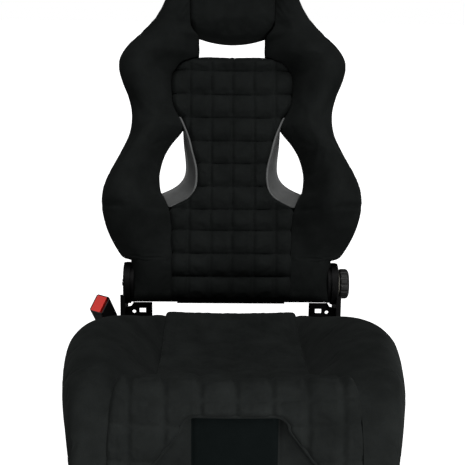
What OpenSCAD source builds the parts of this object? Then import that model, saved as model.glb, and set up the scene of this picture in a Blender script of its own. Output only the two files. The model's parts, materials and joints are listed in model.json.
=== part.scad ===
// Racing seat: a padded shell backrest with harness openings on a reclining base with slide rails.
// X runs across the seat, the seat faces -Y, Z is up. Millimetres throughout.
// The origin is at floor level, midway between the four floor bolts.

/* [Backrest] */
// Lean of the backrest from upright, as stored
back_tilt = 20; // [12:1:26]
// Height of the recline axis above the floor
axis_z = 315; // [305:1:330]
// Distance of the recline axis behind the origin
axis_y = 215; // [210:1:220]
// Wall of the moulded back shell
shell_wall = 4; // [3:0.5:5]

/* [Tracks] */
// Distance between the centres of the two slide rails
rail_gauge = 380; // [380:1:381]
// Length of the rails fixed to the floor
lower_rail_l = 440; // [430:5:450]
// Length of the rails that carry the seat
upper_rail_l = 400; // [390:5:410]
// Distance between the front and rear floor bolts
floor_bolt_l = 470; // [466:1:474]
// Diameter of the floor bolt holes
floor_hole_d = 10.5; // [9:0.5:12.5]

/* [Recliner] */
// Diameter of the hand wheel
knob_d = 56; // [48:1:62]
// Diameter of the shaft that joins the two recliners
shaft_d = 12; // [10:1:13]
// Diameter of the moving recliner discs
disc_d = 68; // [60:1:70]

/* [Belt buckle] */
// Length of the buckle housing
buckle_l = 62; // [58:1:66]
// Width of the buckle housing, front to back
buckle_w = 36; // [34:1:40]
// Thickness of the buckle housing
buckle_t = 27; // [24:1:28]

/* [Hidden] */
$fn = 48;

steel_black = [0.05, 0.05, 0.055];
steel_zinc = [0.62, 0.63, 0.64];
fabric_black = [0.07, 0.075, 0.075];
shell_grey = [0.3, 0.3, 0.31];
plastic_dark = [0.12, 0.12, 0.12];
foam_grey = [0.35, 0.35, 0.37];

rail_x = rail_gauge / 2;
running = 0.08;    // radial clearance of a shaft in its bore
sheet_t = 3.5;     // thickness of the pressed steel side frames
ear_x = rail_x + 6;            // inner face of the side frame
shaft_r = shaft_d / 2;
disc_r = disc_d / 2;
arm_x = ear_x - 16;            // inner face of the back arm
arm_t = 4;

// ---------------------------------------------------------------- curves

// Smooth curve through [position, value] points, with the slope at each point taken from its neighbours.
function span_of(p, x, i = 0) = i >= len(p) - 2 || x < p[i + 1][0] ? i : span_of(p, x, i + 1);
function slope_at(p, i) =
  let (a = max(i - 1, 0), b = min(i + 1, len(p) - 1))
  (p[b][1] - p[a][1]) / (p[b][0] - p[a][0]);
function curve(p, x) =
  let (
    i = span_of(p, x), gap = p[i + 1][0] - p[i][0],
    t = min(max((x - p[i][0]) / gap, 0), 1)
  )
  p[i][1] * (2 * t * t * t - 3 * t * t + 1) + slope_at(p, i) * gap * (t * t * t - 2 * t * t + t)
  + p[i + 1][1] * (3 * t * t - 2 * t * t * t) + slope_at(p, i + 1) * gap * (t * t * t - t * t);
function mix(a, b, t) = a + (b - a) * t;
function steps(a, b, n) = [for (i = [0:n]) mix(a, b, i / n)];

// Closed solid between two grids of points.
// Rows run upwards and columns to the right, as seen from outside the front grid.
module slab(front, back) {
  m = len(front);
  n = len(front[0]);
  function at(i, j, side) = side * m * n + i * n + j;
  flat = [for (g = [front, back], row = g, p = row) p];
  sheets = [for (i = [0:m - 2], j = [0:n - 2]) each [
    [at(i, j, 0), at(i + 1, j, 0), at(i + 1, j + 1, 0)],
    [at(i, j, 0), at(i + 1, j + 1, 0), at(i, j + 1, 0)],
    [at(i, j, 1), at(i + 1, j + 1, 1), at(i + 1, j, 1)],
    [at(i, j, 1), at(i, j + 1, 1), at(i + 1, j + 1, 1)]
  ]];
  ends = [for (j = [0:n - 2]) each [
    [at(0, j, 0), at(0, j + 1, 0), at(0, j + 1, 1)], [at(0, j, 0), at(0, j + 1, 1), at(0, j, 1)],
    [at(m - 1, j + 1, 0), at(m - 1, j, 0), at(m - 1, j, 1)],
    [at(m - 1, j + 1, 0), at(m - 1, j, 1), at(m - 1, j + 1, 1)]
  ]];
  sides = [for (i = [0:m - 2]) each [
    [at(i + 1, 0, 0), at(i, 0, 0), at(i, 0, 1)], [at(i + 1, 0, 0), at(i, 0, 1), at(i + 1, 0, 1)],
    [at(i, n - 1, 0), at(i + 1, n - 1, 0), at(i + 1, n - 1, 1)],
    [at(i, n - 1, 0), at(i + 1, n - 1, 1), at(i, n - 1, 1)]
  ]];
  polyhedron(flat, concat(sheets, ends, sides));
}

// ---------------------------------------------------------------- places

// Puts a part that is drawn upright about the recline axis where the leaning backrest has it.
module on_backrest() {
  translate([0, axis_y, axis_z]) rotate([-back_tilt, 0, 0]) children();
}

// Cylinder along X from x0 to x1 at the given height and depth.
module rod_x(x0, x1, r, y = 0, z = 0) {
  translate([min(x0, x1), y, z]) rotate([0, 90, 0]) cylinder(r = r, h = abs(x1 - x0));
}

// Flat plate across X, from x0 to x1, whose outline is drawn in (y, z).
module plate_x(x0, x1) {
  translate([x0, 0, 0]) rotate([90, 0, 90]) linear_extrude(x1 - x0) children();
}

module rounded(r) {
  offset(r) offset(delta = -r) children();
}

// Both sides of the seat.
module both_sides() {
  children();
  mirror([1, 0, 0]) children();
}

// ---------------------------------------------------------------- floor rails

rail_base_z = 8;
rail_top_z = 32;

module lower_rail_profile() {
  polygon([
    [-22, rail_base_z], [22, rail_base_z], [22, rail_top_z], [9, rail_top_z], [9, 22],
    [11, 22], [11, 30], [20, 30], [20, 10],
    [-20, 10], [-20, 30], [-11, 30], [-11, 22], [-9, 22], [-9, rail_top_z], [-22, rail_top_z]
  ]);
}

rivet_y = 205;
rivet_x = 8;
rivet_r = 3;

module at_rivets() {
  for (y = [-rivet_y, rivet_y], x = [-rivet_x, rivet_x]) translate([x, y, 0]) children();
}

notch_pitch = 20;
notch_count = 11;
notch_mid_y = -100;

module lower_rail(side) {
  color(steel_zinc) translate([side * rail_x, 0, 0]) difference() {
    rotate([90, 0, 0]) translate([0, 0, -lower_rail_l / 2])
      linear_extrude(lower_rail_l) lower_rail_profile();
    at_rivets() cylinder(r = rivet_r, h = 20);
    for (i = [0:notch_count - 1]) {
      notch_y = notch_mid_y + (i - (notch_count - 1) / 2) * notch_pitch;
      translate([-side * 22 - 6, notch_y - 4, 29]) cube([12, 8, 6]);
    }
  }
}

module foot(end) {
  foot_w = 54;
  rail_end = lower_rail_l / 2;
  plate_y0 = rail_end - 6;
  plate_y1 = floor_bolt_l / 2 + 27;
  for (side = [-1, 1]) translate([side * rail_x, 0, 0]) difference() {
    union() {
      translate([-foot_w / 2, end > 0 ? plate_y0 : -plate_y1, 0]) cube([foot_w, plate_y1 - plate_y0, 4]);
      translate([-20, end > 0 ? rail_end - 40 : -rail_end - 2, 4]) cube([40, 42, 4]);
      translate([-20, end > 0 ? plate_y0 : -plate_y0 - 4, 0]) cube([40, 4, 8]);
    }
    translate([0, end * floor_bolt_l / 2, -1]) cylinder(d = floor_hole_d, h = 12);
    at_rivets() cylinder(r = rivet_r, h = 20);
  }
}

module front_feet() { color(steel_black) foot(-1); }
module rear_feet() { color(steel_black) foot(1); }

module foot_rivets() {
  color(steel_zinc) for (side = [-1, 1]) translate([side * rail_x, 0, 0]) at_rivets() {
    translate([0, 0, 3]) cylinder(r = rivet_r, h = 7);
    translate([0, 0, 10]) cylinder(r = rivet_r + 2, h = 1.2);
    translate([0, 0, 2.4]) cylinder(r = rivet_r + 1.4, h = 1.6);
  }
}

// ---------------------------------------------------------------- rollers between the rails

roller_r = 1.95;
roller_ys = [-120, -90, 90, 120];

module track_rollers() {
  color(steel_zinc) for (side = [-1, 1], y = roller_ys)
    rod_x(side * rail_x - 14, side * rail_x + 14, roller_r, y, 12);
}

module roller_cages() {
  color(plastic_dark) for (side = [-1, 1], end = [-1, 1]) difference() {
    translate([side * rail_x - 16.5, end * 105 - 25, 11.6]) cube([33, 50, 0.8]);
    for (y = [90, 120]) translate([side * rail_x - 14.3, end * y - 2.3, 11]) cube([28.6, 4.6, 2]);
  }
}

// ---------------------------------------------------------------- sliding rails and seat frame

stem_half = 6;
stem_top_z = 60;

module upper_rail_profile() {
  polygon([
    [6, stem_top_z], [6, 16], [15, 16], [15, 27], [17, 27], [17, 14], [3.5, 14], [3.5, 57.5],
    [-3.5, 57.5], [-3.5, 14], [-17, 14], [-17, 27], [-15, 27], [-15, 16], [-6, 16], [-6, stem_top_z]
  ]);
}

frame_bolt_ys = [-150, -40, 70, 160];
frame_bolt_z = 49;
frame_bolt_r = 4;

module upper_rail(side) {
  color(steel_black) difference() {
    translate([side * rail_x, 0, 0]) rotate([90, 0, 0]) translate([0, 0, -upper_rail_l / 2])
      linear_extrude(upper_rail_l) upper_rail_profile();
    for (y = frame_bolt_ys) rod_x(side * (rail_x - 8), side * (rail_x + 8), frame_bolt_r, y, frame_bolt_z);
  }
}

module rail_end_caps() {
  color(plastic_dark) for (side = [-1, 1], end = [-1, 1])
    translate([side * rail_x - stem_half, end > 0 ? upper_rail_l / 2 : -upper_rail_l / 2 - 4, 14])
      cube([12, 4, 46]);
}

front_tube = [-190, 118];
rear_tube = [150, 128];
tube_r = 12.5;
anchor = [222, 184];

module side_frame_outline() {
  difference() {
    polygon([
      [-212, 40], [-236, 70], [-240, 112], [-228, 138], [-200, 150], [110, 150], [146, 158], [166, 200],
      [176, 262], [178, 302], [axis_y - 33, axis_z + 22], [axis_y - 20, axis_z + 34], [axis_y, axis_z + 39],
      [axis_y + 20, axis_z + 34], [axis_y + 34, axis_z + 20], [axis_y + 39, axis_z], [252, 270],
      [246, 200], [236, 150], [214, 90], [200, 40]
    ]);
    for (y = [-120, -20, 80]) translate([y, 100]) circle(r = 26);
    translate([axis_y, axis_z]) circle(r = shaft_r + running);
    translate(anchor) circle(r = 5);
    for (y = frame_bolt_ys) translate([y, frame_bolt_z]) circle(r = frame_bolt_r);
  }
}

module side_frame(side) {
  color(steel_black) mirror([side < 0 ? 1 : 0, 0, 0]) {
    plate_x(ear_x, ear_x + sheet_t) side_frame_outline();
    translate([ear_x + sheet_t, -200, 146.5]) cube([9, 300, 3.5]);
    translate([ear_x + sheet_t, 0, 0]) {
      plate_x(0, 5) polygon([[166, 200], [176, 262], [178, 302], [181.5, 302], [179.5, 262], [169.5, 200]]);
      plate_x(0, 4) polygon([[242, 200], [248, 270], [251.5, 270], [245.5, 200]]);
    }
  }
}

module hex_head(r, h) { cylinder(r = r, h = h, $fn = 6); }

// Hex bolt along +X, with its head outside x = 0 and its shank going inwards.
module bolt_x(side, x, y, z, r, inwards, head_r, head_h) {
  translate([side * x, y, z]) rotate([0, side * 90, 0]) {
    hex_head(head_r, head_h);
    translate([0, 0, -inwards]) cylinder(r = r, h = inwards);
  }
}

module frame_bolts() {
  color(steel_zinc) for (side = [-1, 1], y = frame_bolt_ys)
    bolt_x(side, ear_x + sheet_t, y, frame_bolt_z, frame_bolt_r, sheet_t + 16, 7.5, 5.5);
}

module cross_tube(at) {
  color(steel_black) difference() {
    rod_x(-ear_x, ear_x, tube_r, at[0], at[1]);
    rod_x(-ear_x - 1, ear_x + 1, tube_r - 2, at[0], at[1]);
  }
}

pan_top_z = 165.5;
pan_t = 2;

module seat_pan() {
  pan_front = -262;
  pan_rear = 172;
  color(steel_black) difference() {
    union() {
      translate([-ear_x, pan_front, pan_top_z - pan_t]) cube([2 * ear_x, pan_rear - pan_front, pan_t]);
      for (side = [-1, 1]) translate([side > 0 ? ear_x - pan_t : -ear_x, -225, 138])
        cube([pan_t, 320, pan_top_z - 138]);
      translate([-ear_x, pan_front, 146]) cube([2 * ear_x, pan_t, pan_top_z - 146]);
      translate([-ear_x + 30, pan_rear - pan_t, 150]) cube([2 * ear_x - 60, pan_t, pan_top_z - 150]);
    }
    for (x = [-110, 0, 110], y = [-150, -30, 90]) translate([x, y, 150]) cylinder(r = 24, h = 30);
  }
}

hook_x = 152;
hook_y = 202;
hook_top_z = 280;

hook_w = 10;
hook_t = 3;
bridge_low_z = 240;

// Web from a hook to the side frame, with a window in it and room for the recliner above its outer end.
module hook_bridge() {
  inner = hook_x + hook_w / 2;
  translate([0, hook_y + hook_t, 0]) rotate([90, 0, 0]) linear_extrude(hook_t) difference() {
    polygon([
      [inner, bridge_low_z], [ear_x, bridge_low_z], [ear_x, 270], [186, 273], [182, hook_top_z],
      [inner, hook_top_z]
    ]);
    translate([inner + 2, 260]) square([12, 9]);
    translate([inner + 24, 262]) circle(r = 3.5);
  }
}

// Uprights behind the cushion that its cover hooks on to, each welded to the rear tube.
module cover_hooks() {
  color(steel_black) both_sides() {
    translate([hook_x - hook_w / 2, 0, 0]) {
      translate([0, rear_tube[0] + tube_r, rear_tube[1] - 2])
        cube([hook_w, hook_y - rear_tube[0] - tube_r, 4]);
      translate([0, hook_y, rear_tube[1] - 2]) cube([hook_w, hook_t, hook_top_z - rear_tube[1] + 2]);
      translate([0, hook_y - 7, hook_top_z - 14]) cube([hook_w, 7, hook_t]);
    }
    hook_bridge();
  }
}

// ---------------------------------------------------------------- recliners

housing_r = 39;
housing_in = ear_x - 9;
cup_floor = ear_x - 4;
cam_r = 10;

module recliner_housing(side) {
  color(steel_black) mirror([side < 0 ? 1 : 0, 0, 0]) difference() {
    rod_x(housing_in, ear_x, housing_r, axis_y, axis_z);
    rod_x(housing_in - 1, cup_floor, disc_r + running, axis_y, axis_z);
    rod_x(housing_in, ear_x + 1, cam_r + running, axis_y, axis_z);
  }
}

module recliner_disc(side) {
  color(steel_black) mirror([side < 0 ? 1 : 0, 0, 0]) difference() {
    rod_x(arm_x + arm_t, cup_floor - 0.5, disc_r, axis_y, axis_z);
    rod_x(arm_x, cup_floor, cam_r + running, axis_y, axis_z);
    at_disc_screws() rod_x(arm_x, cup_floor - 3, 2.5);
  }
}

module at_disc_screws() {
  for (a = [0:60:300]) translate([0, axis_y + 23 * cos(a), axis_z + 23 * sin(a)]) children();
}

module disc_screws() {
  color(steel_black) both_sides() at_disc_screws() {
    rod_x(arm_x, cup_floor - 3, 2.5);
    rod_x(arm_x - 2.5, arm_x, 4.5);
  }
}

module drive_cams() {
  color(steel_zinc) both_sides() difference() {
    rod_x(arm_x + 1, ear_x - 0.5, cam_r, axis_y, axis_z);
    rod_x(arm_x, ear_x, shaft_r, axis_y, axis_z);
  }
}

module cross_shaft() {
  color(steel_zinc) rod_x(-ear_x - sheet_t - 4, ear_x + 22, shaft_r, axis_y, axis_z);
}

bezel_out = ear_x + sheet_t + 3;

module recline_bezel() {
  color([0.45, 0.44, 0.4]) difference() {
    rod_x(ear_x + sheet_t, bezel_out, 23.5, axis_y, axis_z);
    rod_x(ear_x, bezel_out + 1, shaft_r + 3, axis_y, axis_z);
  }
}

knob_in = bezel_out + 1;
knob_out = knob_in + 17;

module recline_knob() {
  grips = 14;
  color(plastic_dark) translate([knob_in, axis_y, axis_z]) rotate([0, 90, 0]) difference() {
    rotate_extrude() polygon([
      [shaft_r, 0], [knob_d / 2 - 2, 0], [knob_d / 2, 2], [knob_d / 2, 12], [knob_d / 2 - 1.5, 15],
      [knob_d / 2 - 5, 17], [10, 17], [9, 13], [shaft_r, 13]
    ]);
    for (i = [0:grips - 1]) rotate(i * 360 / grips)
      translate([knob_d / 2 + 2.6, 0, -1]) cylinder(r = 4, h = 20);
  }
}

module knob_cap() {
  color(plastic_dark) rod_x(ear_x + 22, knob_out - 0.4, 8.6, axis_y, axis_z);
}

// ---------------------------------------------------------------- cushion

// The cushion is drawn by its distance d in front of the recline axis and its drop h below it.
function cushion_at(x, d, h) = [x, axis_y - d, axis_z - h];
pad_base_z = 166;
base_h = axis_z - pad_base_z;
core_top_z = 222;
crest_d = 414;
rear_d = 34;
front_d = 488;

cushion_line = [
  [34, 49], [44, 46], [60, 48], [100, 57], [200, 62], [300, 52], [350, 39], [380, 27], [408, 16], [422, 12],
  [440, 13], [456, 21], [468, 36], [476, 60], [481, 90], [485, 120], [488, 150]
];
cushion_half = [
  [34, 142], [50, 168], [70, 192], [100, 214], [130, 234], [160, 250], [190, 263], [220, 268], [260, 271],
  [320, 267], [400, 257], [440, 249], [470, 243], [488, 240]
];
panel_half = [
  [34, 120], [200, 121], [380, 123], [396, 127], [406, 139], [413, 156], [422, 170], [440, 175],
  [470, 182], [488, 189]
];
bolster_crown = [
  [34, 52], [50, 48], [70, 41], [100, 29], [150, 12], [200, 2], [260, -3], [340, -4], [400, -1], [430, 6],
  [452, 18], [466, 36], [476, 62], [482, 95], [488, 146]
];

function panel_top(x, d) = curve(cushion_line, d) - 5 * pow(x / 150, 2);

// Depths at which the cushion pads are drawn, shared so that their seams run side by side.
cushion_ds = concat(
  [front_d, 485, 481, 475, 467, 456, 440, 424, crest_d + 0.6, crest_d - 0.6, 405], steps(390, 190, 9),
  [165, 145, 125, 105, 88, 70, 52, 40, rear_d]
);

// Pad of the sewn middle panel between two depths, down to the given drop.
module pad_between(d0, d1, low_h) {
  us = steps(-1, 1, 8);
  ds = [for (d = cushion_ds) if (d >= d0 && d <= d1) d];
  function spot(u, d) = u * (curve(panel_half, d) - 1);
  slab(
    [for (d = ds) [for (u = us) cushion_at(spot(u, d), d, panel_top(spot(u, d), d))]],
    [for (d = ds) [for (u = us) cushion_at(spot(u, d), d, low_h)]]
  );
}

module cushion_foam_core() {
  color(foam_grey) translate([-118, axis_y - crest_d + 4, pad_base_z])
    cube([236, crest_d - rear_d - 12, core_top_z - pad_base_z]);
}

module cushion_seat_pad() {
  color(fabric_black) pad_between(rear_d, crest_d - 0.6, axis_z - core_top_z - 0.5);
}

notch_back_d = 455;
notch_top_h = 50;
notch_r = 22;
notch_half = 58;      // from the middle to the centres of its round corners
notch_spread = 0.75;  // how fast its sides spread downwards
function notch_edge(h) =
  let (below = h - notch_top_h - notch_r)
  notch_half + (below < 0 ? sqrt(notch_r * notch_r - below * below) : notch_r + notch_spread * below);

// Front view of the notch: a flat top with round corners and sides that spread downwards.
module notch_outline() {
  corner_z = axis_z - notch_top_h - notch_r;
  base_edge = notch_edge(base_h + 1);
  for (side = [-1, 1]) translate([side * notch_half, corner_z]) circle(r = notch_r);
  polygon([
    [-notch_half, corner_z + notch_r], [notch_half, corner_z + notch_r], [notch_half + notch_r, corner_z],
    [base_edge, pad_base_z - 1], [-base_edge, pad_base_z - 1], [-notch_half - notch_r, corner_z]
  ]);
}

module cushion_thigh_pad() {
  color(fabric_black) difference() {
    pad_between(crest_d + 0.6, front_d, base_h);
    translate([0, axis_y - notch_back_d, 0]) rotate([90, 0, 0]) linear_extrude(60) notch_outline();
  }
}

module cushion_nose_pad() {
  us = [-1, -0.8, -0.62, 0, 0.62, 0.8, 1];
  ahead = [13, 8, 6, 6, 6, 8, 13];
  hs = [base_h, 120, 85, 72, 62, 54];
  function half(h) = notch_edge(h) - 3;
  color(fabric_black) slab(
    [for (h = hs) [for (i = [0:6]) cushion_at(us[i] * half(h), notch_back_d + ahead[i], h)]],
    [for (h = hs) [for (i = [0:6]) cushion_at(us[i] * half(h), notch_back_d + 0.6, h)]]
  );
}

// Share of a bolster's rise from its inner seam, at u = 0, to its crown, at u = top.
function rise_to(u, top) = pow(sin(90 * min(u / top, 1)), 1.3);
// Share of a bolster's fall from its crown to its outer edge, at u = 1.
function fall_from(u, top) = u < top ? 0 : pow(1 - cos(90 * (u - top) / (1 - top)), 1.3);

module cushion_bolster(side) {
  top = 0.6;
  us = [0, 0.12, 0.28, 0.45, top, 0.75, 0.87, 0.95, 1];
  outer_fall = 32;
  function spot(u, d) = mix(curve(panel_half, d) + 0.6, curve(cushion_half, d), u);
  function top_h(u, d) =
    let (inner = panel_top(curve(panel_half, d), d) + 3, crown = min(curve(bolster_crown, d), inner))
    mix(inner, crown, rise_to(u, top)) + outer_fall * fall_from(u, top);
  color(fabric_black) mirror([side < 0 ? 1 : 0, 0, 0]) slab(
    [for (d = cushion_ds) [for (u = us) cushion_at(spot(u, d), d, min(top_h(u, d), base_h - 4))]],
    [for (d = cushion_ds) [for (u = us) cushion_at(spot(u, d), d, base_h)]]
  );
}

// ---------------------------------------------------------------- backrest

// The backrest is drawn upright by its distance w above the recline axis and its depth n in front of it.
function back_at(x, w, n) = [x, -n, w];
back_low = -36;
shell_low = -18;
back_top = 662;

back_half = [
  [-38, 174], [22, 175], [38, 178], [41, 184], [44, 197], [50, 205], [80, 222], [108, 232], [140, 237],
  [170, 234], [200, 223], [240, 204], [275, 190], [313, 187], [345, 194], [372, 205], [395, 211],
  [415, 209], [440, 195], [465, 171], [492, 148], [520, 133], [560, 118], [605, 106], [635, 97],
  [652, 84], [664, 66]
];
// Half width of the sewn centre panel, whose waist leaves room for the side openings.
centre_half = [
  [-38, 110], [60, 110], [120, 112], [137, 115], [144, 102], [152, 86], [161, 75], [172, 68], [184, 65],
  [199, 64], [217, 66], [245, 73], [274, 81], [307, 95], [320, 104], [335, 110], [360, 113], [390, 112],
  [402, 106], [411, 98], [418, 86], [424, 70], [427, 58]
];
// Inner edge of the side bolsters, past the side openings, the head slot and the headrest.
bolster_inner = [
  [-38, 110], [60, 110], [120, 112], [139, 117], [150, 122], [168, 131], [185, 134], [205, 134], [236, 126],
  [260, 113], [288, 92], [297, 93], [307, 97], [320, 105], [335, 111], [360, 114], [390, 113], [402, 107],
  [411, 99], [418, 87], [424, 72], [430, 64], [462, 64], [472, 73], [484, 79], [600, 79], [635, 74],
  [652, 66], [664, 54]
];
shell_line = [
  [-38, -30], [0, -30], [40, -24], [90, -8], [140, 2], [200, 6], [260, 4], [320, -2], [380, -6], [450, -6],
  [520, 0], [600, 6], [664, 12]
];
shell_rim = [
  [-38, -16], [20, -8], [50, 14], [80, 34], [108, 46], [140, 54], [185, 50], [226, 40], [272, 30], [313, 27],
  [358, 33], [395, 38], [428, 34], [460, 26], [492, 20], [520, 16], [600, 14], [664, 14]
];
pad_line = [
  [-38, 36], [-24, 41], [0, 44], [60, 47], [120, 50], [200, 50], [280, 46], [360, 40], [412, 35], [427, 30]
];
bolster_line = [
  [-38, 50], [-20, 62], [30, 78], [60, 92], [100, 112], [140, 122], [185, 116], [226, 102], [272, 87],
  [313, 80], [358, 86], [400, 89], [428, 85], [460, 75], [492, 70], [520, 68], [600, 64], [640, 56], [664, 40]
];
head_line = [[456, 40], [464, 52], [486, 60], [545, 65], [600, 63], [642, 54], [662, 40]];
// Lowest depth of any pad, which keeps the pads in front of the cross shaft.
shaft_room = [[-38, 13], [44, 13], [70, 2], [95, -30], [664, -30]];

function dish(t) = t < 0.35 ? 0 : pow((t - 0.35) / 0.65, 2);
function shell_n(x, w) = mix(curve(shell_line, w), curve(shell_rim, w), dish(abs(x) / curve(back_half, w)));
function pad_back(x, w) = max(shell_n(x, w) + 1, curve(shaft_room, w));

// Inner edge of each side opening; its outer edge follows the bolster.
opening_inner = [
  [168, 130], [174, 117], [181, 105], [189, 96], [200, 89], [214, 86], [235, 87], [260, 90], [288, 92]
];
slot_low = 427;
slot_high = 476;
slot_half = 63;
arm_bolt_x = 155;
arm_bolt_ws = [85, 120];

module across_depth() {
  rotate([90, 0, 0]) translate([0, 0, -200]) linear_extrude(400) children();
}

module side_opening() {
  up = steps(168, 288, 15);
  down = steps(288, 168, 15);
  polygon(concat(
    [for (w = up) [curve(opening_inner, w), w]],
    [for (w = down) [curve(bolster_inner, w) + 2, w + 0.5]]
  ));
}

module back_shell() {
  ws = concat([shell_low, 0, 20, 36, 50, 65, 80], steps(100, 640, 27), [652, back_top - 2]);
  us = steps(-1, 1, 16);
  function spot(u, w) = u * (curve(back_half, w) - 4);
  color(shell_grey) on_backrest() difference() {
    slab(
      [for (w = ws) [for (u = us) back_at(spot(u, w), w, shell_n(spot(u, w), w))]],
      [for (w = ws) [for (u = us) back_at(spot(u, w), w, shell_n(spot(u, w), w) - shell_wall)]]
    );
    across_depth() both_sides() side_opening();
    across_depth() translate([-slot_half, slot_low]) square([2 * slot_half, slot_high - slot_low]);
    for (side = [-1, 1], w = arm_bolt_ws)
      translate([side * arm_bolt_x, 40, w]) rotate([90, 0, 0]) cylinder(r = 4.2, h = 80);
  }
}

// Depth of the pad beside a bolster: the centre pad up to its top, and then the headrest.
function beside(w) = w > 445 ? curve(head_line, max(w, 456)) : curve(pad_line, min(w, 427));

module back_bolster(side) {
  top = 0.62;
  us = [0, 0.14, 0.3, 0.46, top, 0.76, 0.88, 0.96, 1];
  ws = concat(
    [back_low, -26, 0, 20, 36, 41, 44, 50, 65, 80, 100, 120, 139], steps(150, 270, 8), steps(282, 400, 8),
    [410, 418, 427, 444, 462, 474, 490, 515, 550, 590, 622, 642, 655, back_top]
  );
  function spot(u, w) = mix(curve(bolster_inner, w) + 0.7, curve(back_half, w), u);
  function front_n(u, w) =
    let (
      inner = max(beside(w) - 5, pad_back(spot(0, w), w) + 8),
      crown = max(curve(bolster_line, w), inner), outer = curve(shell_rim, w) + 12
    )
    mix(mix(inner, crown, rise_to(u, top)), outer, fall_from(u, top));
  color(fabric_black) on_backrest() mirror([side < 0 ? 1 : 0, 0, 0]) slab(
    [for (w = ws) [for (u = us) back_at(spot(u, w), w, max(front_n(u, w), pad_back(spot(u, w), w) + 4))]],
    [for (w = ws) [for (u = us) back_at(spot(u, w), w, pad_back(spot(u, w), w))]]
  );
}

module back_centre_pad() {
  ws = concat(
    [back_low, -24, 0, 45, 70, 95, 120, 137, 144, 152, 161, 172, 184, 199], steps(217, 307, 5),
    [320, 335, 360, 385, 397, 406, 414, 421, 426.5]
  );
  us = steps(-1, 1, 8);
  function spot(u, w) = u * (curve(centre_half, w) - 0.7);
  color(fabric_black) on_backrest() slab(
    [for (w = ws) [for (u = us) back_at(spot(u, w), w, curve(pad_line, w) - 6 * pow(abs(u), 6))]],
    [for (w = ws) [for (u = us) back_at(spot(u, w), w, pad_back(spot(u, w), w))]]
  );
}

module headrest_pad() {
  us = steps(-1, 1, 8);
  vs = [0, 0.04, each [for (w = [490, 515, 550, 590, 622, 642, 655]) (w - 471) / 185], 1];
  function height(u, v) = mix(457 + 14 * u * u, 662 - 6 * u * u, v);
  // The lower corners are cut in, where the belts pass.
  function corner(v) = v < 0.1 ? 80 * (0.1 - v) : 0;
  function spot(u, v) = u * (curve(bolster_inner, max(height(u, v), 488)) - 0.7 - corner(v));
  function front_n(u, v) = curve(head_line, mix(457, 662, v)) - 7 * pow(abs(u), 4);
  color(fabric_black) on_backrest() slab(
    [for (v = vs) [for (u = us) back_at(spot(u, v), height(u, v), front_n(u, v))]],
    [for (v = vs) [for (u = us) back_at(spot(u, v), height(u, v), pad_back(spot(u, v), height(u, v)) + 0.5)]]
  );
}

module pad_retainer() {
  color(plastic_dark) on_backrest() translate([-100, -11, back_low - 1]) {
    cube([200, 2, 14]);
    translate([0, -6, -1.5]) cube([200, 8, 1.5]);
  }
}

tab_y = 10;
tab_t = 4;

module back_arm(side) {
  color(steel_black) on_backrest() mirror([side < 0 ? 1 : 0, 0, 0]) difference() {
    union() {
      rod_x(arm_x, arm_x + arm_t, 36);
      plate_x(arm_x, arm_x + arm_t)
        polygon([
          [-20, 28], [4, 36], [4, 56], [-2, 64], [-4, 84], [-8, 104], [-8, 134], [14, 136], [30, 112],
          [36, 60], [35, 8]
        ]);
      translate([141, tab_y, 76]) cube([arm_x - 141 + 1, tab_t, 58]);
    }
    rod_x(arm_x - 1, arm_x + arm_t + 1, cam_r + 2);
    rotate([back_tilt, 0, 0]) translate([0, -axis_y, -axis_z])
      at_disc_screws() rod_x(arm_x - 1, arm_x + arm_t + 1, 2.5);
    for (w = arm_bolt_ws) translate([arm_bolt_x, 30, w]) rotate([90, 0, 0]) cylinder(r = 4, h = 60);
  }
}

// The bolts pass forward through the arm's tab, a spacer and the shell.
module arm_bolts() {
  color(steel_zinc) on_backrest() both_sides() for (w = arm_bolt_ws) {
    tip = -shell_n(arm_bolt_x, w) + 1;
    translate([arm_bolt_x, tip, w]) rotate([-90, 0, 0]) cylinder(r = 4, h = tab_y + tab_t - tip);
    translate([arm_bolt_x, tab_y + tab_t, w]) rotate([-90, 0, 0]) hex_head(7.5, 5.3);
  }
}

module arm_spacers() {
  color(steel_zinc) on_backrest() both_sides() for (w = arm_bolt_ws) {
    reach = shell_wall + 3.6 - shell_n(arm_bolt_x, w);
    translate([arm_bolt_x, reach, w]) rotate([-90, 0, 0]) difference() {
      cylinder(r = 6.5, h = tab_y - reach);
      translate([0, 0, -1]) cylinder(r = 4, h = tab_y - reach + 2);
    }
  }
}

// ---------------------------------------------------------------- slide release

release_pivot = [-60, 50];
release_end = [-282, 86];
release_x = 172;

module release_pivots() {
  color(steel_zinc) for (side = [-1, 1])
    rod_x(side * (release_x - 8), side * (rail_x - stem_half), 4, release_pivot[0], release_pivot[1]);
}

module release_bar() {
  run = release_pivot[0] - release_end[0];
  rise = release_end[1] - release_pivot[1];
  length = sqrt(run * run + rise * rise);
  color(steel_black) difference() {
    union() {
      for (side = [-1, 1]) {
        translate([side * release_x, release_pivot[0], release_pivot[1]]) {
          rotate([90 - atan(rise / run), 0, 0]) cylinder(r = 4.6, h = length);
          rod_x(-6, 6, 8);
        }
        translate([side * release_x, release_end[0], release_end[1]]) sphere(r = 6.5);
      }
      rod_x(-release_x, release_x, 5, release_end[0], release_end[1]);
    }
    for (side = [-1, 1]) translate([side * release_x, release_pivot[0], release_pivot[1]])
      rod_x(-9, 9, 4 + running);
  }
}

module release_grip() {
  color(plastic_dark) difference() {
    rod_x(-75, 75, 9, release_end[0], release_end[1]);
    rod_x(-76, 76, 5, release_end[0], release_end[1]);
  }
}

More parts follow.
